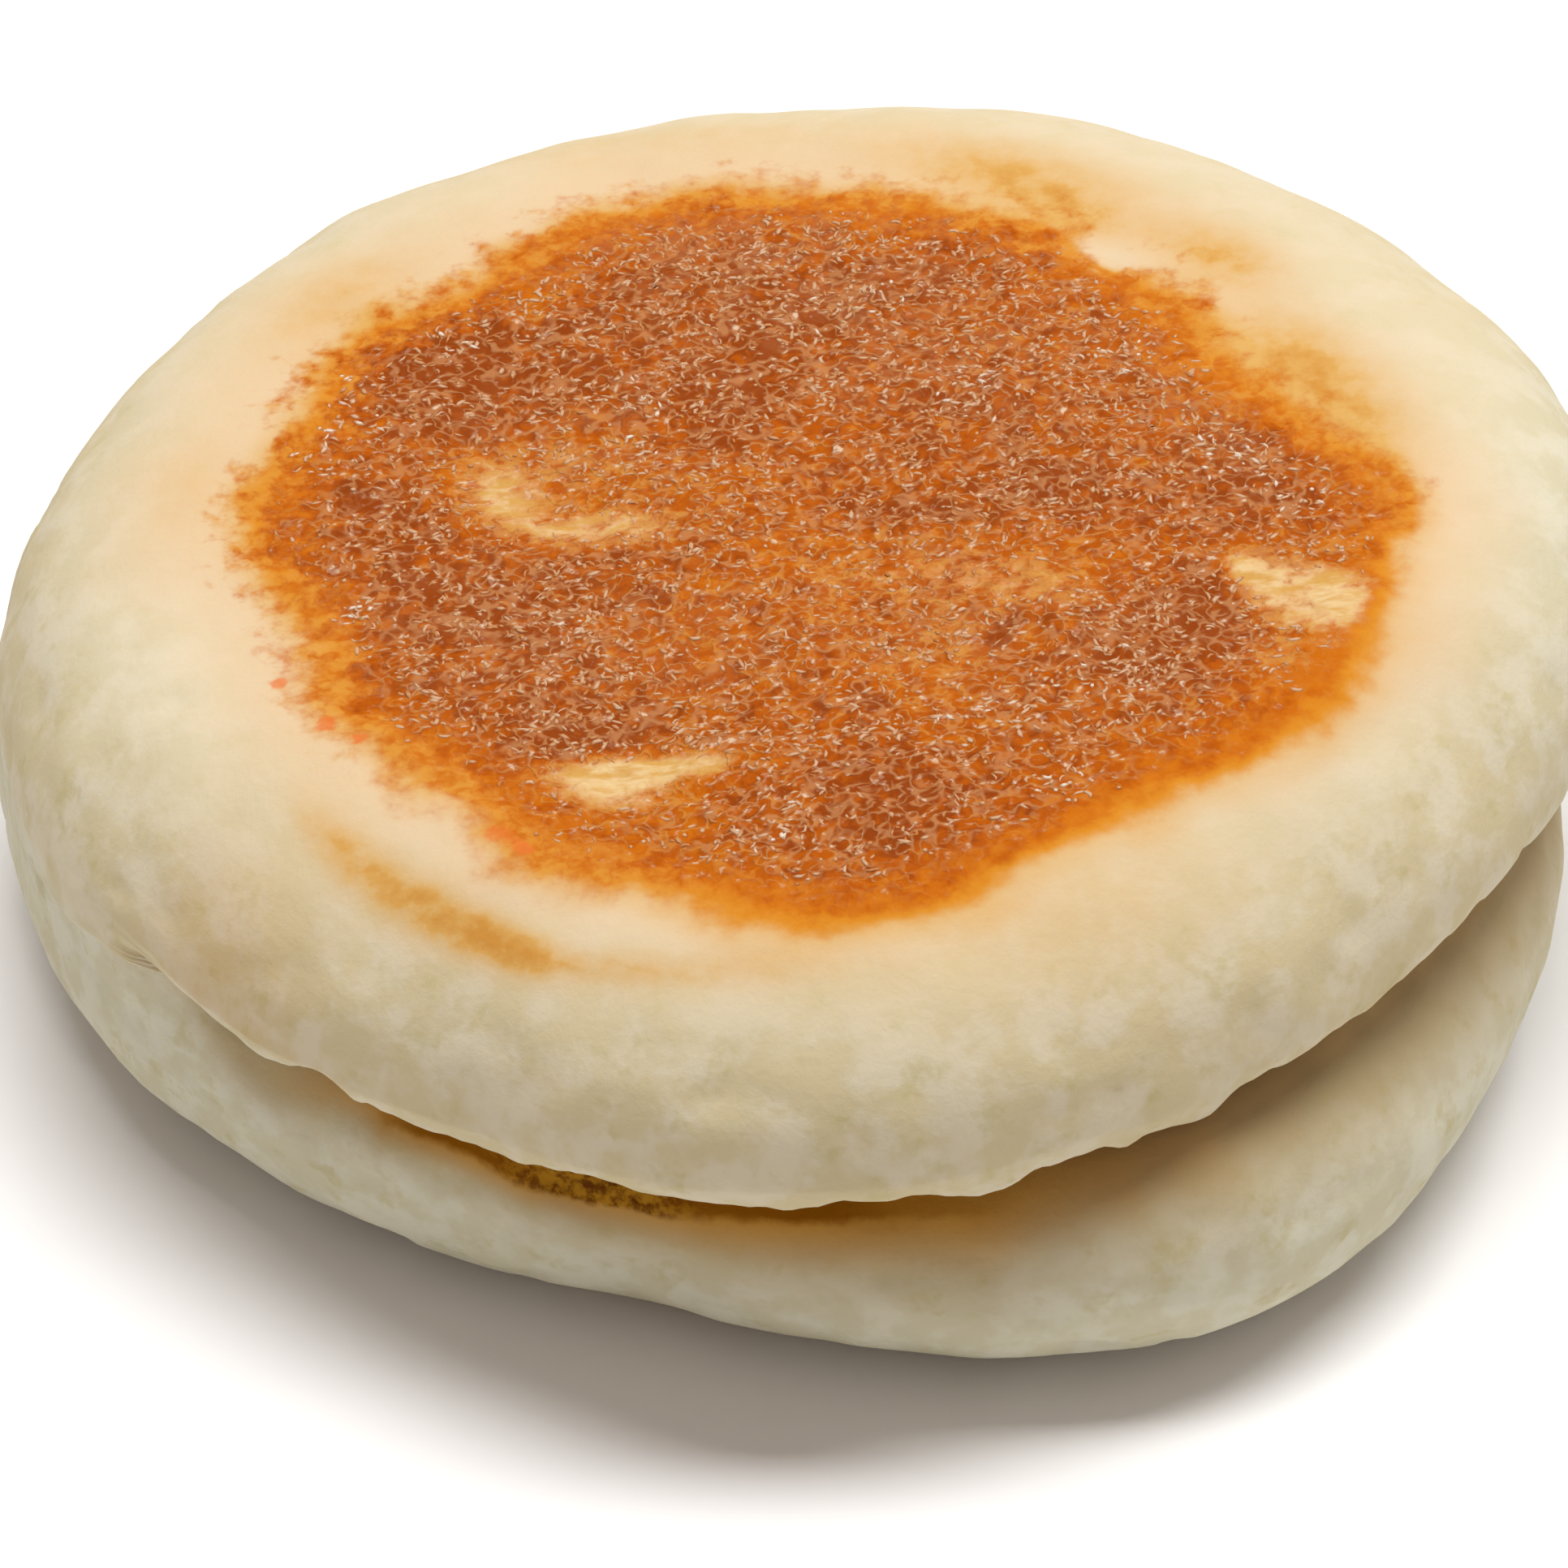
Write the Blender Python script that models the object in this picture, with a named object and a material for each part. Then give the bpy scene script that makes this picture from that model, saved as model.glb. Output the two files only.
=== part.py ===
"""A split English muffin: one round griddled bread, cut along its side and still joined at the back left.

The front right of the top half stands a little open. The muffin lies on its flat, browned lower face.
Units are metres, +Z is up, and angles are degrees round +Z: 0 is +X, 90 is away from the viewer (+Y).
The origin is the middle of the outline, on the surface that the muffin lies on.
"""

import bmesh
import bpy
import numpy as np
from math import atan2, cos, degrees, exp, pi, radians, sin
from mathutils import Vector, noise

MM = 0.001

# Outline radii at the twelve clock positions, anticlockwise from +X, 30 degrees apart.
TOP_RADII = np.array([48.4, 47.6, 46.9, 46.4, 47.0, 46.6, 47.2, 46.6, 46.2, 49.2, 47.3, 46.2]) * MM
BOTTOM_RADII = np.array([44.9, 46.0, 46.2, 46.4, 47.0, 46.6, 47.4, 45.7, 43.6, 45.2, 50.7, 47.2]) * MM

# Heights above the surface. The upper face and the split both rise towards the right.
FACE_HEIGHT = 30.5 * MM
FACE_RISE = 2.7 * MM
FACE_RISE_TOWARDS = 352.0
SPLIT_HEIGHT = 17.2 * MM
SPLIT_RISE = 1.65 * MM
SPLIT_RISE_TOWARDS = 337.0

# Rounded edges: how far each reaches inwards, and how far up or down the side.
SHOULDER_WIDTH = 12.6 * MM
SHOULDER_HEIGHT = 11.0 * MM
FOOT_WIDTH = 10.2 * MM
FOOT_HEIGHT = 8.0 * MM

# The split: widest towards the front right, and closed over the joined back left.
OPENING_TOWARDS = 330.0
SPLIT_HALF_ANGLE = 115.0
SPLIT_DEPTH = 31.0 * MM
TIP_SHARE = 0.16
GAP_LEAST = 0.9 * MM
GAP_MORE = 1.7 * MM
GAP_AT_END = 0.4 * MM
JOINED_BAND = 1.8 * MM
LIP_INSET_LEAST = 2.4 * MM
LIP_INSET_MORE = 5.6 * MM
LIP_START = 0.22
EDGE_TUCK = 0.8 * MM
EDGE_ROUND = 0.35 * MM

# The dent in the foot at the front: direction, width in degrees and depth.
FOOT_DENT = (257.0, 7.0, 1.5 * MM)

# Shallow hollows in the upper face where the dough didn't touch the griddle: x, y, radius, depth.
FACE_HOLLOWS = (
    (-14.5 * MM, 4.5 * MM, 7.0 * MM, 0.55 * MM),
    (29.0 * MM, -1.5 * MM, 6.0 * MM, 0.65 * MM),
    (-10.5 * MM, -21.5 * MM, 5.5 * MM, 0.65 * MM),
    (20.5 * MM, 28.0 * MM, 5.0 * MM, 0.45 * MM),
)

# Uneven dough: depth and size of the slow waves over the skin.
LUMP_DEPTH = 0.42 * MM
LUMP_SIZE = 15.0 * MM

# How finely the solid is faceted.
TURN_STEPS = 80
FOOT_STEPS = 5
WALL_STEPS = 3
LIP_STEPS = 5
SPLIT_STEPS = 4
SIDE_STEPS = 4
SHOULDER_STEPS = 6
BASE_RINGS = (0.0, 0.35, 0.64, 0.86)
FACE_RINGS = (0.92, 0.81, 0.69, 0.56, 0.43, 0.3, 0.16, 0.0)

SKIN_COLOUR = (0.80, 0.66, 0.42, 1.0)
SKIN_ROUGHNESS = 0.75


def around(angle, towards):
    """The angle between two directions, from 0 to 180 degrees."""
    return abs((angle - towards + 180) % 360 - 180)


def ease(share):
    """A smooth step from 0 to 1."""
    share = min(1.0, max(0.0, share))
    return share * share * (3 - 2 * share)


def clock(radii, angle):
    """The outline radius in any direction: a smooth closed curve through the clock positions."""
    place = (angle % 360) / (360 / len(radii))
    start = int(place)
    t = place - start
    before, here, after, beyond = (radii[(start + k) % len(radii)] for k in (-1, 0, 1, 2))
    bend = (2 * before - 5 * here + 4 * after - beyond) * t * t + (3 * (here - after) + beyond - before) * t**3
    return here + 0.5 * ((after - before) * t + bend)


def openness(angle):
    """1 where the split is widest, falling to 0 at its two tips and over the joined side."""
    return max(0.0, 1 - (around(angle, OPENING_TOWARDS) / SPLIT_HALF_ANGLE) ** 2)


def tilted(height, rise, towards, angle):
    return height + rise * cos(radians(angle - towards))


def arc(start, end, steps, first_way):
    """Points on a quarter of an ellipse from start to end, without the start.

    It leaves start upright if first_way is 'up', and level if it is 'out'.
    """
    points = []
    for k in range(1, steps + 1):
        turn = 0.5 * pi * k / steps
        swing, climb = (1 - cos(turn), sin(turn)) if first_way == "up" else (sin(turn), 1 - cos(turn))
        points.append((start[0] + (end[0] - start[0]) * swing, start[1] + (end[1] - start[1]) * climb))
    return points


def line(start, end, steps):
    """Evenly spaced points from start to end, without the start."""
    shares = [k / steps for k in range(1, steps + 1)]
    return [(start[0] + (end[0] - start[0]) * s, start[1] + (end[1] - start[1]) * s) for s in shares]


def split_rings(angle, lip, edge, wall_radius):
    """The rings of the split, from the lower lip in to its end and out to the upper edge.

    Over the joined side the same rings lie flat in the wall.
    """
    is_open = openness(angle)
    end_radius = edge[0] - SPLIT_DEPTH * is_open**0.6
    end_height = 0.5 * (lip[1] + edge[1])
    below = line(lip, (end_radius, end_height - 0.5 * GAP_AT_END), SPLIT_STEPS)
    above = line((end_radius, end_height + 0.5 * GAP_AT_END), edge, SPLIT_STEPS)
    cut = below + [(end_radius - GAP_AT_END, end_height)] + [(end_radius, end_height + 0.5 * GAP_AT_END)] + above
    heights = np.linspace(lip[1], edge[1], len(cut) + 1)[1:]
    cut_share = ease(is_open / TIP_SHARE)
    return [
        (wall_radius + (radius - wall_radius) * cut_share, flat + (height - flat) * cut_share)
        for (radius, height), flat in zip(cut, heights)
    ]


def section(angle):
    """The muffin's outline in one direction, as (radius, height) from the base's middle to the face's middle."""
    top_radius, bottom_radius = clock(TOP_RADII, angle), clock(BOTTOM_RADII, angle)
    direction, width, depth = FOOT_DENT
    dent = depth * exp(-((around(angle, direction) / width) ** 2))
    is_open = openness(angle)
    cut_share = ease(is_open / TIP_SHARE)
    facing = max(0.0, cos(radians(angle - OPENING_TOWARDS)))

    edge_height = tilted(SPLIT_HEIGHT, SPLIT_RISE, SPLIT_RISE_TOWARDS, angle)
    gap = JOINED_BAND + (GAP_LEAST + GAP_MORE * facing**2 - JOINED_BAND) * cut_share
    lip_height = edge_height - gap
    inset = (LIP_INSET_LEAST + LIP_INSET_MORE * ease(facing)) * cut_share
    face_edge_height = tilted(FACE_HEIGHT, FACE_RISE, FACE_RISE_TOWARDS, angle)
    face_radius = top_radius - SHOULDER_WIDTH
    base_radius = bottom_radius - FOOT_WIDTH

    points = [(base_radius * share, 0.0) for share in BASE_RINGS] + [(base_radius - 0.5 * dent, 0.0)]
    foot_top = (bottom_radius - dent, FOOT_HEIGHT)
    points += arc(points[-1], foot_top, FOOT_STEPS, "out")
    lip_start = (bottom_radius - 0.4 * dent, FOOT_HEIGHT + (lip_height - FOOT_HEIGHT) * LIP_START)
    points += line(points[-1], lip_start, WALL_STEPS)
    points += arc(points[-1], (bottom_radius - inset, lip_height), LIP_STEPS, "up")

    edge_radius = top_radius - EDGE_TUCK * cut_share
    edge = (edge_radius - EDGE_ROUND * cut_share, edge_height)
    points += split_rings(angle, points[-1], edge, edge_radius)
    points.append((edge_radius, edge_height + EDGE_ROUND))
    side_top = (top_radius, face_edge_height - SHOULDER_HEIGHT)
    if side_top[1] < points[-1][1]:
        points += arc(points[-1], side_top, SIDE_STEPS, "out")
    else:
        points += bulge(points[-1], side_top)
    points += arc(points[-1], (face_radius, face_edge_height), SHOULDER_STEPS, "up")
    rise = face_edge_height - FACE_HEIGHT
    points += [(face_radius * share, FACE_HEIGHT + rise * share) for share in FACE_RINGS]
    return points


def bulge(start, end):
    """The side wall above the split: it swells quickly from the cut edge to its full radius."""
    points = []
    for k in range(1, SIDE_STEPS + 1):
        share = k / SIDE_STEPS
        radius = start[0] + (end[0] - start[0]) * (1 - (1 - share) ** 2)
        points.append((radius, start[1] + (end[1] - start[1]) * share))
    return points


def hollow_depth(x, y):
    """How far the upper face is pressed in at a point."""
    return sum(
        depth * exp(-(((x - at_x) ** 2 + (y - at_y) ** 2) / radius**2))
        for at_x, at_y, radius, depth in FACE_HOLLOWS
    )


def turned_body():
    """The muffin turned from one section, with each point's place in the section kept in a layer."""
    body = bmesh.new()
    ring = body.verts.layers.int.new("ring")
    chain = []
    for number, (radius, height) in enumerate(section(0.0)):
        vertex = body.verts.new((radius, 0, height))
        vertex[ring] = number
        chain.append(vertex)
    edges = [body.edges.new(pair) for pair in zip(chain, chain[1:])]
    bmesh.ops.spin(
        body, geom=chain + edges, cent=(0, 0, 0), axis=(0, 0, 1), angle=2 * pi, steps=TURN_STEPS, use_merge=True
    )
    bmesh.ops.remove_doubles(body, verts=body.verts, dist=0.00001 * MM)
    return body, ring


def make_uneven(body, ring):
    """Moves each turned point to the section of its own direction, then adds the dents and slow lumps."""
    sections = {}
    for vertex in body.verts:
        turn = atan2(vertex.co.y, vertex.co.x) if vertex.co.to_2d().length > MM * 0.01 else 0.0
        step = round(turn / (2 * pi) * TURN_STEPS) % TURN_STEPS
        if step not in sections:
            sections[step] = section(step * 360 / TURN_STEPS)
        radius, height = sections[step][vertex[ring]]
        angle = 2 * pi * step / TURN_STEPS
        vertex.co = (radius * cos(angle), radius * sin(angle), height)
    bmesh.ops.recalc_face_normals(body, faces=body.faces)
    body.normal_update()
    first_side_ring = len(BASE_RINGS) + 1 + FOOT_STEPS
    cut_from = first_side_ring + WALL_STEPS + LIP_STEPS - 1
    cut_to = cut_from + 2 * SPLIT_STEPS + 3
    for vertex in body.verts:
        number = vertex[ring]
        share = ease((number - len(BASE_RINGS)) / FOOT_STEPS)
        if cut_from <= number <= cut_to:
            share = 1 - ease(openness(degrees(atan2(vertex.co.y, vertex.co.x))) / TIP_SHARE)
        lump = noise.noise(vertex.co / LUMP_SIZE)
        vertex.co += vertex.normal * lump * LUMP_DEPTH * share
        if vertex.co.z > FACE_HEIGHT - SHOULDER_HEIGHT * 0.5:
            vertex.co.z -= hollow_depth(vertex.co.x, vertex.co.y)


def centre_outline(body):
    """Puts the origin under the middle of the outline."""
    xs, ys = [v.co.x for v in body.verts], [v.co.y for v in body.verts]
    middle = Vector(((min(xs) + max(xs)) / 2, (min(ys) + max(ys)) / 2, 0))
    bmesh.ops.translate(body, verts=body.verts, vec=-middle)


def baked_skin():
    """The pale floury skin of the muffin."""
    material = bpy.data.materials.new("baked_skin")
    material.use_nodes = True
    shader = material.node_tree.nodes["Principled BSDF"]
    shader.inputs["Base Color"].default_value = SKIN_COLOUR
    shader.inputs["Roughness"].default_value = SKIN_ROUGHNESS
    shader.inputs["Metallic"].default_value = 0.0
    return material


def make_muffin(collection):
    body, ring = turned_body()
    make_uneven(body, ring)
    centre_outline(body)
    mesh = bpy.data.meshes.new("muffin")
    body.to_mesh(mesh)
    body.free()
    mesh.materials.append(baked_skin())
    mesh.shade_smooth()
    muffin = bpy.data.objects.new("muffin", mesh)
    collection.objects.link(muffin)
    return muffin


def main():
    for old in list(bpy.data.objects):
        bpy.data.objects.remove(old)
    collection = bpy.data.collections.new("split_english_muffin")
    bpy.context.scene.collection.children.link(collection)
    make_muffin(collection)


main()
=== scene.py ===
"""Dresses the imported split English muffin: uneven dough, the cut edge, the griddled faces and their flour.

Lengths in the tables below are millimetres and angles are degrees round +Z, as on the muffin itself:
0 is +X, to the viewer's right, and 90 is +Y, away from the viewer.
"""

from math import atan2, cos, pi, radians, sin

import bpy
import numpy as np
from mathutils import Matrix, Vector, noise
from mathutils.bvhtree import BVHTree


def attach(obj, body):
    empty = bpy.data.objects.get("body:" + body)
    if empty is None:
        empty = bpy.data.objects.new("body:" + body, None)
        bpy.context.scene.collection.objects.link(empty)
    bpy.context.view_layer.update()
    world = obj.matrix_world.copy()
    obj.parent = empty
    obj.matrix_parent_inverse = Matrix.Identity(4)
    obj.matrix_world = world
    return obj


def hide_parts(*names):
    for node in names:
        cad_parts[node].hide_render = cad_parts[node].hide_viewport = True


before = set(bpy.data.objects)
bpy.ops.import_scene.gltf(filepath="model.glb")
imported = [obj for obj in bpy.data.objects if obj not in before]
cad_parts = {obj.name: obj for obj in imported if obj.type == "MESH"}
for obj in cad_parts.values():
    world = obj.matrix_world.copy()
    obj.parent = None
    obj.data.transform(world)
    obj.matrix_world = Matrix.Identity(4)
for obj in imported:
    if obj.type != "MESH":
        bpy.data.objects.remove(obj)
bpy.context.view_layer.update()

MM = 0.001

# The griddled patch on the upper face: its middle, and its radius every 10 degrees.
PATCH_MIDDLE = (0.0, -2.0)
PATCH_RADII = np.array([
    33.4, 30.6, 28.2, 27.0, 28.6, 29.4, 30.5, 31.0, 31.4, 32.1, 33.3, 33.9,
    32.5, 32.0, 33.7, 32.7, 31.4, 32.4, 31.6, 29.4, 28.9, 30.6, 30.4, 30.3,
    32.2, 32.2, 33.2, 34.3, 34.0, 32.6, 32.0, 31.8, 32.8, 33.6, 33.8, 33.8,
])
# The underside lay on the griddle too: its patch has the same size, turned and a little wider.
UNDER_RADII = np.roll(PATCH_RADII, 11) + 1.0

# How dark each place in the patch is baked: x, y, half width along, half width across, turn, strength.
# Plus is darker, minus is paler.
BAKED_SPOTS = (
    (-17.8, 2.4, 3.8, 2.2, -55, -0.95),
    (-12.2, -1.2, 5.0, 1.8, -8, -1.10),
    (-14.0, 5.6, 4.8, 3.4, 0, -0.60),
    (-18.6, 5.4, 2.6, 2.6, 0, -0.40),
    (24.4, -8.4, 2.2, 1.5, -40, -0.9),
    (27.8, -11.0, 5.2, 3.4, -24, -1.30),
    (31.6, -13.4, 3.6, 2.6, -10, -0.75),
    (-9.4, -23.2, 5.2, 1.3, 0, -1.80),
    (-10.8, -25.2, 3.0, 1.7, -8, -1.30),
    (18.1, 22.3, 3.3, 1.6, -38, -2.00),
    (3.5, -6.5, 7.0, 4.2, -12, -0.40),
    (13.5, -11.0, 5.0, 3.2, 0, -0.40),
    (25.0, 8.5, 3.5, 3.5, 0, -0.50),
    (25.8, -17.5, 3.0, 2.4, 0, -0.40),
    (20.0, -17.6, 2.6, 1.8, 0, 0.50),
    (7.0, -27.0, 9.0, 5.0, 0, 0.30),
    (13.0, -8.5, 6.0, 3.4, -10, -0.50),
    (5.5, -14.5, 6.0, 3.4, -25, -0.45),
    (-9.5, 0.5, 2.6, 1.8, 0, -0.25),
    (11.2, -12.5, 1.7, 0.7, 56, 1.60),
    (10.2, -14.0, 0.9, 0.8, 0, 0.90),
    (-26.3, 2.8, 1.6, 1.1, -35, 1.05),
    (-5.0, 6.9, 1.7, 2.0, 0, 0.95),
    (23.0, -10.4, 1.2, 3.0, 10, 1.10),
    (5.4, -1.6, 4.2, 1.0, -14, 1.00),
    (3.0, -18.6, 1.8, 1.2, -40, 0.80),
    (-23.0, 12.0, 7.5, 6.0, 40, 0.75),
    (-20.0, -12.0, 8.0, 8.0, 0, 0.55),
    (-28.0, -3.0, 4.0, 6.0, 0, 0.35),
    (-4.0, 20.0, 16.0, 6.5, 0, 0.60),
    (-7.0, 11.0, 8.0, 3.0, 0, 0.40),
    (14.5, -0.2, 8.5, 3.0, -12, 0.75),
    (18.5, -13.5, 6.0, 4.5, 0, 0.75),
    (20.8, -8.8, 2.6, 3.0, 0, 0.55),
    (13.0, 9.0, 11.0, 6.0, -12, 0.30),
    (26.5, 0.5, 4.0, 5.0, 0, 0.50),
    (-16.0, 20.5, 2.2, 2.0, 0, -0.60),
    (-23.4, 0.5, 2.4, 4.6, 0, 0.55),
    (-12.5, -20.4, 5.5, 1.8, 6, 0.60),
    (2.0, -28.0, 10.0, 3.0, 4, 0.35),
)

# Toasted colour outside the patch, in the same form: plus is more golden.
GOLDEN_SPOTS = (
    (-27.0, -26.4, 2.6, 1.2, -56, 0.55),
    (-24.8, -29.4, 2.8, 1.4, -50, 0.80),
    (-21.6, -32.4, 2.8, 1.4, -45, 1.05),
    (-18.2, -35.1, 2.6, 1.1, -38, 1.35),
    (-15.2, -37.1, 2.4, 1.0, -32, 1.05),
    (-10.6, -39.0, 4.0, 1.0, -16, 0.60),
    (-4.0, -40.2, 5.0, 1.0, -3, 0.45),
    (6.0, -39.0, 9.0, 3.0, 4, 0.25),
    (17.0, -35.0, 8.0, 3.6, 28, 0.30),
    (18.1, 22.6, 2.4, 1.2, -38, -0.05),
    (15.5, 27.4, 5.0, 1.8, -30, 0.70),
    (28.5, 9.5, 6.5, 3.6, -52, 1.20),
    (-32.5, -30.0, 6.0, 4.0, -48, 0.28),
    (32.0, 3.0, 4.0, 3.0, -60, 0.60),
    (12.0, 31.4, 8.0, 3.0, -22, 0.85),
    (24.4, 21.6, 4.4, 2.4, -46, 0.90),
    (-28.0, 22.5, 5.5, 3.6, 50, 0.60),
    (-36.0, 5.0, 3.0, 5.0, 10, 0.30),
    (-8.0, 38.0, 14.0, 3.0, 0, 0.28),
)

# How far the orange edge of the patch spreads outwards, every 30 degrees: 0 is hardly, 1 is widely.
EDGE_GLOW = np.array([0.45, 0.35, 0.15, 0.1, 0.1, 0.2, 0.3, 0.0, 0.1, 0.9, 1.0, 1.0])

# How ragged and speckled the patch's edge is, every 30 degrees.
EDGE_RAGGED = np.array([0.5, 0.7, 0.8, 0.6, 0.8, 1.0, 1.0, 0.5, 0.2, 0.1, 0.0, 0.1])

# Where the patch looks hazy with flour, in the same form as the baked spots.
HAZY_SPOTS = (
    (8.0, 14.0, 13.0, 6.0, -14, 0.75),
    (-2.0, 20.0, 8.0, 4.0, 0, 0.40),
    (-14.0, 8.0, 6.0, 4.0, 0, 0.55),
    (-19.0, -9.0, 7.0, 5.0, 0, 0.40),
    (13.0, -13.0, 8.0, 4.0, -10, 0.50),
    (22.0, 4.0, 7.0, 5.0, -30, 0.35),
    (4.0, -27.0, 9.0, 4.5, 8, -0.50),
    (-3.0, 26.0, 13.0, 4.0, 0, 0.90),
    (-8.0, -12.0, 8.0, 5.0, 0, 0.25),
)

# Where the dough stayed pale at the patch's edge: x, y, half widths, turn, and how far it cuts in.
PALE_SPOTS = ((18.1, 22.6, 2.4, 1.1, -38, 5.0), (33.4, -9.0, 2.4, 4.0, 0, 1.6))

# Where the upper half's dough is as grey as the lower half's, in the same form as the baked spots.
GREYER_SPOTS = (
    (-38.0, -6.0, 8.0, 16.0, 0, 0.4),
    (45.0, -2.0, 5.0, 18.0, 0, 0.8),
    (0.0, 47.0, 40.0, 5.0, 0, 0.6),
)

# Small reddish spots just outside the patch: x, y, radius.
RED_SPOTS = (
    (-27.2, -18.4, 0.9),
    (-25.2, -20.0, 0.7),
    (-17.2, -28.7, 1.1),
    (-15.6, -30.0, 0.8),
    (-30.0, -14.2, 0.6),
)

# Thick clusters of pale flour on the patch: x, y, radius.
FLOUR_CLUSTERS = (
    (-26.7, 13.2, 1.6), (-26.9, 9.6, 1.5), (-28.6, 6.8, 1.2), (-20.4, 17.6, 1.0), (-9.2, 10.8, 1.4),
    (-9.8, 6.9, 1.0), (-13.4, -10.6, 0.9), (-26.0, -8.2, 1.1), (4.0, 19.0, 2.4), (10.0, 9.5, 2.2),
    (17.5, -17.5, 2.0), (9.0, -21.0, 2.2), (24.0, 1.5, 2.0), (14.0, -27.0, 1.6), (28.5, -2.5, 1.6),
    (-2.0, -30.0, 1.8), (18.0, 12.0, 1.8),
)

# Hollows in the upper face, where the dough didn't touch the griddle: x, y, radius, depth.
FACE_HOLLOWS = (
    (-14.5, 1.0, 5.5, 0.35),
    (26.5, -11.5, 4.5, 0.40),
    (-9.8, -25.0, 4.6, 0.40),
    (18.8, 22.4, 3.4, 0.35),
    (11.4, -12.4, 1.3, 0.30),
)

# Small pits in the side of the upper half, and in the foot: x, y, z, radius, depth.
SIDE_PITS = (
    (24.4, -38.0, 24.3, 1.3, 0.35),
    (30.4, -32.4, 25.3, 1.1, 0.35),
    (31.6, -29.8, 27.3, 1.0, 0.25),
    (13.8, -44.4, 22.8, 0.9, 0.40),
    (16.9, -42.9, 22.7, 0.8, 0.35),
    (-5.6, -45.6, 25.0, 0.8, 0.30),
    (-16.8, -40.8, 24.3, 0.9, 0.25),
    (-39.2, -23.8, 20.4, 1.0, 0.35),
    (-36.2, -14.3, 27.4, 1.2, 0.25),
    (16.0, -44.0, 4.5, 0.9, 0.40),
)

# Nicks in the upper half's cut edge: direction, half width in mm, depth.
EDGE_NICKS = (
    (222.8, 1.8, -0.50),
    (226.8, 1.5, -0.60),
    (232.8, 1.1, 1.90),
    (235.4, 0.6, -0.50),
    (238.5, 1.4, -0.30),
    (243.5, 1.8, -0.30),
    (248.0, 2.0, -0.70),
    (252.5, 1.5, -0.30),
    (282.5, 2.6, -0.95),
    (290.0, 1.0, 0.20),
    (292.5, 0.9, -0.45),
    (299.0, 1.6, -0.80),
    (302.0, 0.9, 0.40),
    (304.5, 0.8, 0.55),
    (310.0, 1.0, 0.50),
    (316.5, 1.0, 0.65),
    (323.0, 0.9, 0.60),
    (328.0, 0.9, 0.40),
)

# The split, as it is in the solid: the height of the upper cut edge and how it rises.
SPLIT_HEIGHT = 17.2
SPLIT_RISE = 1.65
SPLIT_RISE_TOWARDS = 337.0
OPENING_TOWARDS = 330.0
SPLIT_HALF_ANGLE = 115.0
# How much higher its left end is than in the solid.
SPLIT_END_LIFT = 2.3

# The finest curls of flour: how many, and how pale each of a curl's rings is.
CURL_NUMBER = 4200
RING_PALENESS = (0.5, 1.0, 1.0, 0.6)

# Colours of the dough. A pair is two tones that it varies between.
TOP_CREAM = (0.575, 0.495, 0.325, 1), (0.600, 0.515, 0.360, 1)
SIDE_CREAM = (0.560, 0.480, 0.295, 1), (0.610, 0.545, 0.395, 1)
FOOT_CREAM = (0.555, 0.520, 0.370, 1), (0.615, 0.590, 0.460, 1)
OLIVE = (0.46, 0.40, 0.185, 1)
PEACH = (0.610, 0.440, 0.262, 1)
GOLD = (0.560, 0.325, 0.095, 1)
TOASTED = (0.500, 0.235, 0.045, 1)
AMBER = (0.545, 0.210, 0.016, 1)
ORANGE = (0.500, 0.140, 0.004, 1), (0.450, 0.100, 0.002, 1)
SPECKLE = (0.540, 0.235, 0.035, 1), (0.450, 0.110, 0.007, 1)
RED = (0.60, 0.140, 0.028, 1)

# Colours of the griddled patch and of the flour on it, with painted glints on the flour.
BURNT_ORANGE = (0.450, 0.112, 0.003, 1)
RED_BROWN = (0.365, 0.074, 0.002, 1)
DARK_BROWN = (0.230, 0.041, 0.003, 1)
BARE_DOUGH = (0.520, 0.290, 0.075, 1), (0.620, 0.450, 0.225, 1)
HAZE = (0.400, 0.165, 0.070, 1)
STRAND = (0.500, 0.225, 0.045, 1), (0.465, 0.215, 0.085, 1)
SPECK_GLINT = (0.580, 0.410, 0.280, 1)
TOASTED_CURL = (0.400, 0.130, 0.020, 1), (0.460, 0.200, 0.070, 1)
PALE_CURL = (0.510, 0.310, 0.180, 1)
WHITE_CURL = (0.640, 0.540, 0.450, 1)

# Colours in the split: a thin painted shade along the cut edge, tan painted shade under the upper half's
# overhang, painted bounce light where the split opens, deeper painted shade and a dark painted crevice line
# where it is narrow, and crumb darkened partly as painted shade of the gap.
SHADED_RIM = (0.300, 0.205, 0.080, 1)
LIP_TAN_PAINTED_SHADE = (0.390, 0.290, 0.140, 1)
LIP_PAINTED_LIGHT = (0.620, 0.450, 0.230, 1)
DEEP_PAINTED_SHADE = (0.440, 0.215, 0.028, 1)
CREVICE_PAINTED_SHADE = (0.220, 0.075, 0.001, 1)
CRUMB_AND_GAP_SHADE = (0.110, 0.030, 0.001, 1), (0.350, 0.165, 0.010, 1)

# The camera: where it looks, from how far, and how high it stands.
CAMERA_TARGET = (-1.42, 1.42, 8.02)
CAMERA_DISTANCE = 550.0
CAMERA_ELEVATION = 39.64
CAMERA_LENS = 212.95


def ease(low, high, value):
    """A smooth step from 0 at low to 1 at high, for numbers or arrays."""
    share = np.clip((value - low) / (high - low), 0.0, 1.0)
    return share * share * (3 - 2 * share)


def turned_spot(x, y, spot):
    """A soft oval spot: 1 at its middle and near 0 past its half widths."""
    at_x, at_y, along, across, turn = spot[:5]
    c, s = cos(radians(turn)), sin(radians(turn))
    u = (x - at_x) * c + (y - at_y) * s
    v = (y - at_y) * c - (x - at_x) * s
    return np.exp(-((u / along) ** 2) - (v / across) ** 2)


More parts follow.
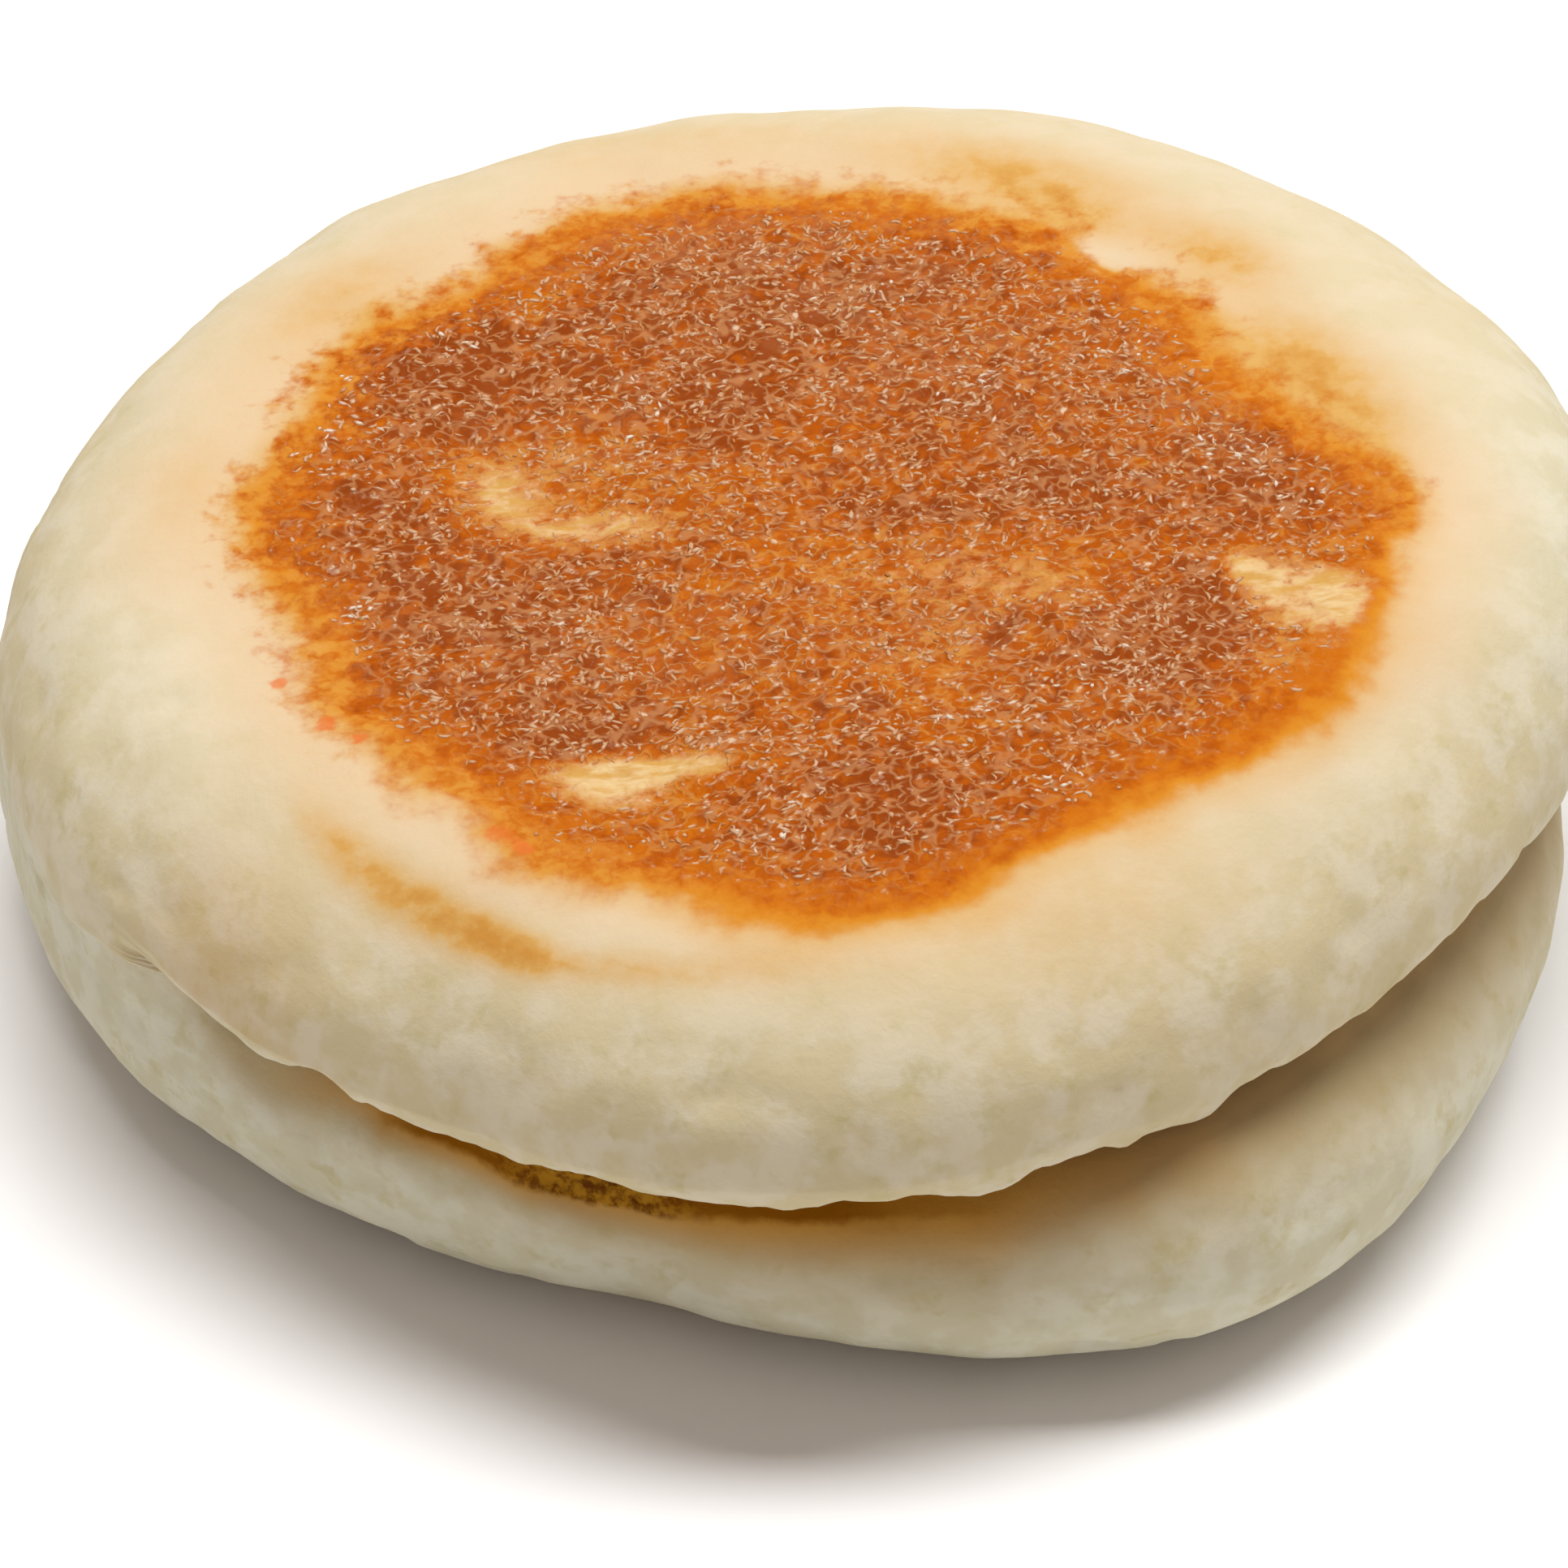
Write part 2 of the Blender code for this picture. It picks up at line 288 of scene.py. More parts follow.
def waves(points, size, seed):
    """Smooth noise from -1 to 1 at each point, with lumps about size mm across."""
    shift = Vector((seed * 17.3, seed * 5.1, seed * 9.7))
    return np.array([noise.noise(Vector(p) / size + shift) for p in points])


def spots_at(x, y, spots):
    """The strengths of a table's spots, added up at each point."""
    return sum(turned_spot(x, y, spot) * spot[5] for spot in spots)


def around(table, turn):
    """A table's value in each direction; its rows are evenly spaced round the circle."""
    rows = np.linspace(0, 360, len(table) + 1)
    return np.interp(turn, rows, np.append(table, table[0]))


def from_patch_middle(x, y):
    """The direction, from 0 to 360 degrees, and the distance of a point from the patch's middle."""
    dx, dy = x - PATCH_MIDDLE[0], y - PATCH_MIDDLE[1]
    return np.degrees(np.arctan2(dy, dx)) % 360, np.hypot(dx, dy)


def past_outline(x, y, radii):
    """How far a point is inside a wavy round outline, in mm; below 0 outside it."""
    turn, distance = from_patch_middle(x, y)
    return around(radii, turn) - distance


def cut_height(place):
    """The height of the upper half's cut edge in a point's direction."""
    turn = np.arctan2(place[1], place[0]) - radians(SPLIT_RISE_TOWARDS)
    return SPLIT_HEIGHT + SPLIT_RISE * np.cos(turn)


def widest_by_direction(angle, radius, chosen):
    """The largest radius of the chosen points in each direction, smoothed, at every point."""
    widest = np.zeros(72)
    np.maximum.at(widest, (angle[chosen] % 360 / 5).astype(int) % 72, radius[chosen])
    closed = np.concatenate([widest[-1:], widest, widest[:1]])
    return np.interp(angle % 360, np.arange(-1, 73) * 5 + 2.5, closed)


def deselect():
    bpy.ops.object.select_all(action="DESELECT")


def apply_subdivision(piece, levels):
    subdivision = piece.modifiers.new("finer", "SUBSURF")
    subdivision.levels = subdivision.render_levels = levels
    bpy.ops.object.modifier_apply(modifier=subdivision.name)


def smooth_copy_of_solid():
    """A copy of the muffin's solid, merged, turned into quads and subdivided, finer on the upper face."""
    deselect()
    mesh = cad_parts["muffin"].data.copy()
    loaf = bpy.data.objects.new("griddled_muffin", mesh)
    bpy.context.scene.collection.objects.link(loaf)
    loaf.select_set(True)
    bpy.context.view_layer.objects.active = loaf
    bpy.ops.object.mode_set(mode="EDIT")
    bpy.ops.mesh.select_all(action="SELECT")
    bpy.ops.mesh.remove_doubles(threshold=0.002 * MM)
    bpy.ops.mesh.tris_convert_to_quads(face_threshold=radians(70), shape_threshold=radians(70))
    bpy.ops.object.mode_set(mode="OBJECT")
    apply_subdivision(loaf, 2)
    bpy.ops.object.mode_set(mode="EDIT")
    bpy.ops.mesh.select_all(action="DESELECT")
    bpy.ops.object.mode_set(mode="OBJECT")
    for face in loaf.data.polygons:
        middle = face.center / MM
        reach = middle.to_2d().length
        upper_face = middle.z > 24 and face.normal.z > 0.5 and reach < 39
        cut_edge = abs(middle.z - cut_height(middle)) < 1.3 and reach > 42 and middle.y < 15
        face.select = upper_face or cut_edge
    bpy.ops.object.mode_set(mode="EDIT")
    bpy.ops.mesh.subdivide(number_cuts=1, smoothness=0)
    thin_out_hidden(loaf)
    return loaf


def thin_out_hidden(loaf):
    """Keeps few faces deep in the split, where none of them shows."""
    bpy.ops.mesh.select_all(action="DESELECT")
    bpy.ops.object.mode_set(mode="OBJECT")
    for face in loaf.data.polygons:
        middle = face.center / MM
        face.select = 3 < middle.z < 23 and middle.to_2d().length < 37
    bpy.ops.object.mode_set(mode="EDIT")
    bpy.ops.mesh.decimate(ratio=0.12)
    bpy.ops.mesh.select_all(action="DESELECT")
    bpy.ops.object.mode_set(mode="OBJECT")


def vertex_places(mesh):
    """The places and normals of a mesh's vertices, in mm, as arrays."""
    places = np.empty(len(mesh.vertices) * 3)
    mesh.vertices.foreach_get("co", places)
    normals = np.empty(len(mesh.vertices) * 3)
    mesh.vertices.foreach_get("normal", normals)
    return places.reshape(-1, 3) / MM, normals.reshape(-1, 3)


def keep_mask(mesh, name, values):
    mask = mesh.attributes.new(name, "FLOAT", "POINT")
    mask.data.foreach_set("value", np.asarray(values, dtype=np.float32))


def read_split(places):
    """The split at each point: first what shapes it, then the masks that the material reads."""
    x, y, z = places.T
    angle, radius = np.degrees(np.arctan2(y, x)), np.hypot(x, y)
    edge_height = cut_height((x, y))
    turn = np.abs((angle - OPENING_TOWARDS + 180) % 360 - 180)
    facing = np.maximum(0.0, np.cos(np.radians(turn)))
    is_split = ease(1.01, 0.93, turn / SPLIT_HALF_ANGLE)
    foot_radius = widest_by_direction(angle, radius, (z > 5) & (z < 11))
    edge_radius = widest_by_direction(angle, radius, abs(z - edge_height - 0.8) < 0.6)

    end_lift = SPLIT_END_LIFT * np.exp(-(((angle % 360 - 212.0) / 8.0) ** 2))
    nicks = np.zeros_like(z)
    for direction, width, depth in EDGE_NICKS:
        along = np.radians((angle - direction + 180) % 360 - 180) * edge_radius
        nicks += depth * np.exp(-((along / width) ** 2))
    shading_height = edge_height + np.minimum(nicks, 0.4)

    # Crumb: deep in the split, and right under the edge at the front, where its dark colour is partly
    # painted shade of the gap.
    between = ease(edge_height - 6.5, edge_height - 4.5, z) * ease(edge_height + 1.0, edge_height + 0.2, z)
    lip_inset = 3.0 + 5.4 * ease(0.0, 1.0, facing) - 2.6 * np.exp(-(((angle % 360 - 254) / 6.0) ** 2))
    crumb = is_split * between * ease(lip_inset - 0.6, lip_inset + 0.6, foot_radius - radius)
    lower = is_split * (z < edge_height - 0.45)
    crumb_band = np.exp(-(((angle % 360 - 253.5) / 7.5) ** 4))
    past = shading_height - z + 0.83 * (radius - edge_radius)

    shape = {
        "is_split": is_split,
        "edge_height": edge_height,
        "edge_depth": edge_radius - radius,
        "nicks": nicks,
        "end_lift": end_lift,
        "crumb": np.maximum(crumb, lower * crumb_band * ease(2.0, 1.0, past)),
    }
    masks = {
        "crumb": crumb,
        "crumb_band": crumb_band,
        "lower": lower,
        "edge_radius": edge_radius,
        "edge_height": shading_height + end_lift,
        # How wide the painted shade under the upper half's edge is, in mm: wider where the split opens.
        "painted_shade_width": 5.2 + 6.8 * ease(0.0, 0.9, facing),
        # Where painted bounce light brightens the lip close under the edge, where the split opens.
        "painted_lip_light": lower * ease(80.0, 50.0, turn) * ease(55.0, 15.0, turn),
        # Where a thin painted shade runs along the cut edge, away from the opening.
        "edge_shade": is_split * ease(60.0, 85.0, turn) * (abs(z - edge_height) < 1.6),
        # Where a deeper painted shade lies close under the edge, where the split is narrow.
        "deep": ease(108.0, 90.0, turn) * ease(15.0, 55.0, turn),
        # Where a dark painted crevice shade runs right under the edge, where the split is narrow.
        "crevice_painted_shade": ease(98.0, 90.0, turn) * ease(42.0, 60.0, turn),
    }
    return shape, masks


def dents(places, face):
    """How deep the hollows in the upper face and the pits in the side are at each point."""
    x, y, z = places.T
    deep = np.zeros_like(x)
    for at_x, at_y, size, depth in FACE_HOLLOWS:
        deep += face * depth * np.exp(-((x - at_x) ** 2 + (y - at_y) ** 2) / size**2)
    for at_x, at_y, at_z, size, depth in SIDE_PITS:
        deep += depth * np.exp(-((x - at_x) ** 2 + (y - at_y) ** 2 + (z - at_z) ** 2) / size**2)
    return deep


def rough_up(loaf):
    """Moves the skin: lumps, crags, pits, the ragged cut edge and the crumb. Returns the split's masks."""
    places, normals = vertex_places(loaf.data)
    x, y, z = places.T
    radius = np.hypot(x, y)
    base = z < 0.4
    split, masks = read_split(places)

    face = ease(0.75, 0.97, normals[:, 2]) * (z > 22)
    patch = face * ease(-1.5, 1.5, past_outline(x, y, PATCH_RADII))
    side = ease(0.85, 0.5, normals[:, 2]) * (radius > 36)
    out = 0.26 * waves(places, 7.0, 1) + 0.10 * waves(places, 3.0, 2)
    out += side * (0.20 * waves(places, 4.6, 12) - 0.18 * ease(0.12, 0.55, waves(places, 2.7, 13)))
    out += patch * (0.22 * waves(places, 1.5, 3) + 0.14 * waves(places, 3.2, 4))
    out -= dents(places, face)
    out += split["crumb"] * (0.30 * waves(places, 1.8, 5) + 0.2 * waves(places, 0.9, 6))
    out[base] = 0.0
    places = places + normals * (out - 0.05 * (1 - base))[:, None]

    from_edge = z - split["edge_height"]
    near_edge = split["is_split"] * np.exp(-((from_edge / 0.9) ** 2)) * ease(6.0, 1.5, split["edge_depth"])
    ragged = 0.42 * waves(places, 1.5, 7) + 0.38 * waves(places, 4.0, 8) - 0.25
    places[:, 2] += near_edge * (ragged + split["nicks"])
    places[:, 2] += split["end_lift"] * np.exp(-((from_edge / 4.0) ** 2)) * ease(34.0, 40.0, radius)
    places[:, 2] = np.where(base, z, np.maximum(places[:, 2], 0.02))

    loaf.data.vertices.foreach_set("co", (places * MM).ravel())
    loaf.data.update()
    return masks


def paint_masks(loaf, split_masks):
    """Keeps what the material reads: how far inside the patch each point is, how baked, how golden."""
    places, normals = vertex_places(loaf.data)
    x, y, z = places.T
    above = z > 15
    inside = np.where(above, past_outline(x, y, PATCH_RADII), past_outline(x, -y, UNDER_RADII))
    inside = inside - above * spots_at(x, y, PALE_SPOTS)
    drop = np.where(above, np.maximum(0.0, 26.0 - z), np.maximum(0.0, z - 1.2) * 3.0)
    lower_half = ease(SPLIT_HEIGHT + 1.0, SPLIT_HEIGHT - 2.5, z)
    red = sum(np.exp(-((x - at_x) ** 2 + (y - at_y) ** 2) / size**2) for at_x, at_y, size in RED_SPOTS)
    turn, _ = from_patch_middle(x, y)
    masks = {
        "inside_patch": np.where(split_masks["crumb"] > 0.5, -12.0, inside - drop * 1.2),
        "baked": np.where(above, spots_at(x, y, BAKED_SPOTS), 0.35 * waves(places, 9.0, 11)),
        "golden": np.where(above & (normals[:, 2] > 0), spots_at(x, y, GOLDEN_SPOTS), 0.0),
        "hazy": np.where(above, spots_at(x, y, HAZY_SPOTS), 0.3),
        "red": np.where(above, red, 0.0),
        "side": ease(0.93, 0.55, normals[:, 2]) * ease(-0.9, -0.5, normals[:, 2]),
        "foot": np.maximum(spots_at(x, y, GREYER_SPOTS), lower_half),
        "glow": around(EDGE_GLOW, turn),
        "ragged": around(EDGE_RAGGED, turn),
    }
    for name, values in (masks | split_masks).items():
        keep_mask(loaf.data, name, values)


def join(tree, source, socket):
    """Links an output to a socket, or sets the socket when source is a plain value."""
    if isinstance(source, bpy.types.NodeSocket):
        tree.links.new(source, socket)
    else:
        socket.default_value = source


def arithmetic(tree, operation, first, second=0.0, third=0.0, clamp=False):
    node = tree.nodes.new("ShaderNodeMath")
    node.operation, node.use_clamp = operation, clamp
    for source, socket in zip((first, second, third), node.inputs):
        join(tree, source, socket)
    return node.outputs[0]


def product(tree, first, second):
    return arithmetic(tree, "MULTIPLY", first, second)


def total(tree, first, second):
    return arithmetic(tree, "ADD", first, second)


def stretched(tree, value, factor, start):
    """A value times a factor, plus a start."""
    return arithmetic(tree, "MULTIPLY_ADD", value, factor, start)


def vector_arithmetic(tree, operation, first, second):
    node = tree.nodes.new("ShaderNodeVectorMath")
    node.operation = operation
    join(tree, first, node.inputs[0])
    join(tree, second, node.inputs[1])
    return node.outputs[0]


def scaled(tree, vector, factor):
    node = tree.nodes.new("ShaderNodeVectorMath")
    node.operation = "SCALE"
    join(tree, vector, node.inputs[0])
    node.inputs["Scale"].default_value = factor
    return node.outputs[0]


def step(tree, value, low, high, to_low=0.0, to_high=1.0):
    """A smooth step of a value between two limits."""
    node = tree.nodes.new("ShaderNodeMapRange")
    node.interpolation_type = "SMOOTHSTEP"
    for source, socket in zip((value, low, high, to_low, to_high), node.inputs):
        join(tree, source, socket)
    return node.outputs[0]


def mixed(tree, share, first, second):
    """One colour where the share is 0 and another where it is 1."""
    node = tree.nodes.new("ShaderNodeMix")
    node.data_type = "RGBA"
    join(tree, share, node.inputs[0])
    join(tree, first, node.inputs[6])
    join(tree, second, node.inputs[7])
    return node.outputs[2]


def two_toned(tree, value, low, high, pair):
    """A pair of tones: the first where the value is low and the second where it is high."""
    return mixed(tree, step(tree, value, low, high), *pair)


def moved(tree, vector, shift):
    return vector_arithmetic(tree, "ADD", vector, shift)


def cloud(tree, vector, scale, detail=1.0, roughness=0.5):
    """Smooth noise: a value and a colour, both about 0.5 on average."""
    node = tree.nodes.new("ShaderNodeTexNoise")
    join(tree, vector, node.inputs["Vector"])
    node.inputs["Scale"].default_value = scale
    node.inputs["Detail"].default_value = detail
    node.inputs["Roughness"].default_value = roughness
    return node.outputs[0], node.outputs[1]


def cell_tones(tree, vector, scale):
    """A tone for each of many irregular cells seen from above."""
    node = tree.nodes.new("ShaderNodeTexVoronoi")
    node.voronoi_dimensions = "2D"
    join(tree, vector, node.inputs["Vector"])
    node.inputs["Scale"].default_value = scale
    return node.outputs["Color"]


def bent(tree, vector, scale, amount):
    """A vector pushed about by smooth noise, so that patterns on it curl."""
    _, colour = cloud(tree, vector, scale, 1.0)
    push = scaled(tree, vector_arithmetic(tree, "SUBTRACT", colour, (0.5, 0.5, 0.5)), amount)
    return vector_arithmetic(tree, "ADD", vector, push)


def attribute(tree, name):
    node = tree.nodes.new("ShaderNodeAttribute")
    node.attribute_name = name
    return node.outputs["Fac"]


def floury_net_group():
    """Fine pale strands of flour in a broken net, with painted glints on them and a tone for each cell
    between them. Units are mm.
    """
    tree = bpy.data.node_groups.new("floury_net", "ShaderNodeTree")
    tree.interface.new_socket("Place", in_out="INPUT", socket_type="NodeSocketVector")
    for name in ("Strands", "SpeckGlints", "Tone", "Height"):
        tree.interface.new_socket(name, in_out="OUTPUT", socket_type="NodeSocketFloat")
    place = tree.nodes.new("NodeGroupInput").outputs[0]
    result = tree.nodes.new("NodeGroupOutput")

    curled = bent(tree, place, 1.25, 0.85)
    wave, _ = cloud(tree, curled, 0.78, 0.0)
    ripple, _ = cloud(tree, moved(tree, curled, (31.0, 7.0, 3.0)), 1.25, 0.0)
    gaps, _ = cloud(tree, moved(tree, place, (5.0, 43.0, 9.0)), 0.62, 1.0)
    ridge = arithmetic(tree, "ABSOLUTE", arithmetic(tree, "SUBTRACT", wave, 0.5))
    fine_ridge = arithmetic(tree, "ABSOLUTE", arithmetic(tree, "SUBTRACT", ripple, 0.5))
    coarse = product(tree, step(tree, ridge, 0.115, 0.01), step(tree, gaps, 0.40, 0.56))
    fine = product(tree, step(tree, fine_ridge, 0.125, 0.01), step(tree, gaps, 0.60, 0.44))
    strands = arithmetic(tree, "MAXIMUM", coarse, fine)

    # Painted glints: small pale specks on the strands, brighter than the flour, standing in for highlights.
    glint_noise, _ = cloud(tree, moved(tree, place, (11.0, 3.0, 19.0)), 1.7, 2.0)
    speck_glints = product(tree, step(tree, glint_noise, 0.60, 0.72), total(tree, strands, 0.35))

    tone, _ = cloud(tree, curled, 0.85, 3.0, 0.6)
    cell_tone = stretched(tree, cell_tones(tree, curled, 0.95), 0.12, product(tree, tone, 0.88))
    height = stretched(tree, strands, 0.8, product(tree, cell_tone, 0.8))
    for source, socket in zip((strands, speck_glints, cell_tone, height), result.inputs):
        tree.links.new(source, socket)
    return tree


def new_finish(name):
    """A new material, its node tree, its shader, and the place on the piece in mm."""
    material = bpy.data.materials.new(name)
    material.use_nodes = True
    tree = material.node_tree
    place = scaled(tree, tree.nodes.new("ShaderNodeTexCoord").outputs["Object"], 1000.0)
    return material, tree, tree.nodes["Principled BSDF"], place


def cream_dough(tree, place):
    """Floury dough: greyer on the sides and the lower half, with a little olive in its dents."""
    mottle, _ = cloud(tree, place, 0.30, 3.0, 0.6)
    side, foot = attribute(tree, "side"), attribute(tree, "foot")
    cream = two_toned(tree, mottle, 0.35, 0.68, TOP_CREAM)
    cream = mixed(tree, side, cream, two_toned(tree, mottle, 0.40, 0.62, SIDE_CREAM))
    cream = mixed(tree, foot, cream, two_toned(tree, mottle, 0.40, 0.62, FOOT_CREAM))
    pores, _ = cloud(tree, place, 0.40, 3.0, 0.62)
    olive = product(tree, step(tree, pores, 0.55, 0.72), stretched(tree, side, 0.35, 0.15))
    return mixed(tree, olive, cream, OLIVE)


def toasted_border(tree, cream, inside, speckled, fast, tone):
    """Round the patch: peach, then gold, then an orange band, with brown speckles and a few red spots."""
    glow, ragged = attribute(tree, "glow"), attribute(tree, "ragged")
    peach_from = stretched(tree, ragged, -8.0, -6.0)
    skin = mixed(tree, step(tree, inside, peach_from, -1.5, 0.0, 0.9), cream, PEACH)
    golden = product(tree, attribute(tree, "golden"), step(tree, fast, 0.25, 0.75, 0.75, 1.25))
    gold_from = stretched(tree, glow, -2.2, -3.0)
    gold_near = step(tree, inside, gold_from, -0.6, 0.0, 0.9)
    gold_share = arithmetic(tree, "ADD", gold_near, golden, clamp=True)
    skin = mixed(tree, gold_share, skin, GOLD)
    skin = mixed(tree, step(tree, golden, 0.75, 1.5), skin, TOASTED)
    band = stretched(tree, fast, 1.6, stretched(tree, glow, 1.7, inside))
    skin = mixed(tree, step(tree, band, -0.6, 0.9), skin, AMBER)
    skin = mixed(tree, step(tree, band, 0.6, 2.0), skin, two_toned(tree, fast, 0.38, 0.62, ORANGE))
    speckle_share = product(tree, step(tree, speckled, -3.4, 1.0), step(tree, glow, 0.3, 1.0, 1.0, 0.15))
    skin = mixed(tree, speckle_share, skin, two_toned(tree, tone, 0.36, 0.62, SPECKLE))
    red = product(tree, attribute(tree, "red"), stretched(tree, fast, 1.6, 0.1))
    return mixed(tree, product(tree, step(tree, red, 0.35, 0.75), 0.7), skin, RED)


def griddled_brown(tree, place, browned, net):
    """The patch: orange to dark red brown, bare spots, haze and a net of flour with painted glints. Also
    where the net lies.
    """
    strands, speck_glints, tone, _ = net
    baked = attribute(tree, "baked")
    wide, _ = cloud(tree, place, 0.10, 2.0)
    shade = total(tree, stretched(tree, tone, 4.0, -1.75), baked)
    shade = total(tree, shade, stretched(tree, wide, 1.6, -0.80))
    shade = total(tree, shade, step(tree, browned, 0.0, 6.0, -0.9, 0.0))
    brown = mixed(tree, step(tree, shade, -0.65, 0.10), BURNT_ORANGE, RED_BROWN)
    brown = mixed(tree, step(tree, shade, 0.05, 0.95), brown, DARK_BROWN)

    long_ways = vector_arithmetic(tree, "MULTIPLY", place, (0.40, 1.10, 1.0))
    streaks, _ = cloud(tree, long_ways, 0.9, 3.0, 0.6)
    spotted = stretched(tree, tone, 2.0, stretched(tree, streaks, 1.6, -1.80))
    bare = step(tree, total(tree, baked, spotted), -0.30, -1.45)
    brown = mixed(tree, bare, brown, two_toned(tree, streaks, 0.38, 0.60, BARE_DOUGH))

    haze, _ = cloud(tree, place, 0.45, 3.0, 0.6)
    haze = product(tree, step(tree, haze, 0.38, 0.66), stretched(tree, attribute(tree, "hazy"), 0.34, 0.04))
    haze = product(tree, haze, step(tree, baked, 0.6, 1.1, 1.0, 0.0))
    brown = mixed(tree, haze, brown, HAZE)

    floury = arithmetic(tree, "MAXIMUM", bare, step(tree, baked, 0.85, 1.15))
    floury = step(tree, floury, 0.1, 0.8, 1.0, 0.25)
    floury = product(tree, floury, step(tree, browned, 0.5, 5.0, 0.25, 1.0))
    strand = two_toned(tree, shade, -0.5, 0.5, STRAND)
    brown = mixed(tree, product(tree, strands, product(tree, floury, 0.60)), brown, strand)
    # The specks: pale flour, painted brighter as glints.
    return mixed(tree, product(tree, speck_glints, product(tree, floury, 0.75)), brown, SPECK_GLINT), floury


def split_lip(tree, place, skin, fast):
    """The lower half's lip: a thin painted shade along the cut edge, then tan painted shade fading to plain
    dough under the overhang, painted light where the split opens, deeper painted shade and a dark painted
    crevice line where it is narrow, and crumb darkened partly as painted shade of the gap.
    """
    apart = tree.nodes.new("ShaderNodeSeparateXYZ")
    tree.links.new(place, apart.inputs[0])
    x, y, z = apart.outputs
    reach = arithmetic(tree, "SQRT", stretched(tree, x, x, product(tree, y, y)))
    outwards = arithmetic(tree, "SUBTRACT", reach, attribute(tree, "edge_radius"))
    past = stretched(tree, outwards, 0.83, arithmetic(tree, "SUBTRACT", attribute(tree, "edge_height"), z))
    lower = attribute(tree, "lower")
    across_painted_shade = arithmetic(tree, "DIVIDE", past, attribute(tree, "painted_shade_width"))

    # Painted shade: a thin darker band right at the upper half's cut edge, away from the opening.
    rim_painted_shade = product(tree, step(tree, past, -0.6, 0.1), step(tree, past, 1.4, 0.6))
    rim_painted_shade = product(tree, rim_painted_shade, attribute(tree, "edge_shade"))
    skin = mixed(tree, product(tree, rim_painted_shade, 0.75), skin, SHADED_RIM)
    # Painted shade: tan under the upper half's overhang, fading out across the painted shade width.
    tan = product(tree, step(tree, across_painted_shade, 1.0, 0.2), product(tree, lower, 0.85))
    skin = mixed(tree, tan, skin, LIP_TAN_PAINTED_SHADE)
    # Painted light: a warm paler band just under the edge where the split opens, standing in for light
    # bounced into the gap.
    painted_lip_light = product(tree, step(tree, past, 2.6, 0.2), attribute(tree, "painted_lip_light"))
    skin = mixed(tree, painted_lip_light, skin, LIP_PAINTED_LIGHT)
    # Painted shade: a deeper brown close under the edge where the split is narrow.
    deep = product(tree, step(tree, across_painted_shade, 0.55, 0.0), product(tree, lower, attribute(tree, "deep")))
    skin = mixed(tree, deep, skin, DEEP_PAINTED_SHADE)

    uneven = stretched(tree, fast, 1.2, arithmetic(tree, "SUBTRACT", past, 0.6))
    # Painted shade: a dark uneven line in the crevice right under the edge.
    crevice_painted_shade = product(tree, lower, attribute(tree, "crevice_painted_shade"))
    skin = mixed(tree, product(tree, step(tree, uneven, 1.1, 0.2), crevice_painted_shade), skin, CREVICE_PAINTED_SHADE)
    # Crumb in the cut; its dark tone is partly painted shade of the narrow gap.
    pores, _ = cloud(tree, place, 1.5, 3.0, 0.6)
    crumb_band = product(tree, lower, attribute(tree, "crumb_band"))
    crumbly = product(tree, step(tree, uneven, 1.35, 0.8), crumb_band)
    crumbly = arithmetic(tree, "MAXIMUM", crumbly, attribute(tree, "crumb"))
    return mixed(tree, crumbly, skin, two_toned(tree, pores, 0.36, 0.64, CRUMB_AND_GAP_SHADE))


def griddled_dough():
    """The muffin's skin: cream dough, golden round the patch, burnt orange in it with painted glints on its
    flour, crumb in the cut, and painted shade and painted light under the cut edge.
    """
    material, tree, shader, place = new_finish("griddled_dough")
    net = tree.nodes.new("ShaderNodeGroup")
    net.node_tree = floury_net_group()
    tree.links.new(place, net.inputs[0])

    # The patch's edge: the painted distance, pushed in and out by noise, far more where the edge is ragged.
    slow, _ = cloud(tree, place, 0.17, 2.0)
    fast, _ = cloud(tree, place, 0.62, 3.0, 0.6)
    inside = total(tree, attribute(tree, "inside_patch"), stretched(tree, slow, 4.0, -2.4))
    push = stretched(tree, attribute(tree, "ragged"), 10.0, 3.0)
    speckled = total(tree, inside, product(tree, arithmetic(tree, "SUBTRACT", fast, 0.5), push))
    browned = stretched(tree, attribute(tree, "glow"), 1.5, speckled)

    skin = toasted_border(tree, cream_dough(tree, place), inside, speckled, fast, net.outputs["Tone"])
    brown, floury = griddled_brown(tree, place, browned, net.outputs)
    in_patch = step(tree, browned, -0.2, 2.2)
    skin = mixed(tree, in_patch, skin, brown)
    tree.links.new(split_lip(tree, place, skin, fast), shader.inputs["Base Color"])

    tree.links.new(step(tree, inside, -1.0, 2.0, 0.75, 0.55), shader.inputs["Roughness"])
    shader.inputs["Specular IOR Level"].default_value = 0.03
    shader.inputs["Subsurface Weight"].default_value = 0.12
    shader.inputs["Subsurface Radius"].default_value = (1.0, 0.55, 0.28)
    shader.inputs["Subsurface Scale"].default_value = 0.0015

    fine, _ = cloud(tree, place, 1.6, 3.0, 0.6)
    netted = product(tree, net.outputs["Height"], product(tree, floury, in_patch))
    relief = stretched(tree, fine, 0.6, netted)
    bump = tree.nodes.new("ShaderNodeBump")
    bump.inputs["Strength"].default_value = 0.6
    bump.inputs["Distance"].default_value = 0.16 * MM
    tree.links.new(relief, bump.inputs["Height"])
    tree.links.new(bump.outputs[0], shader.inputs["Normal"])
    return material


def make_muffin():
    loaf = smooth_copy_of_solid()
    paint_masks(loaf, rough_up(loaf))
    loaf.data.shade_smooth()
    loaf.data.materials.clear()
    loaf.data.materials.append(griddled_dough())
    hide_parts("muffin")
    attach(loaf, "root")
    make_flour(loaf)


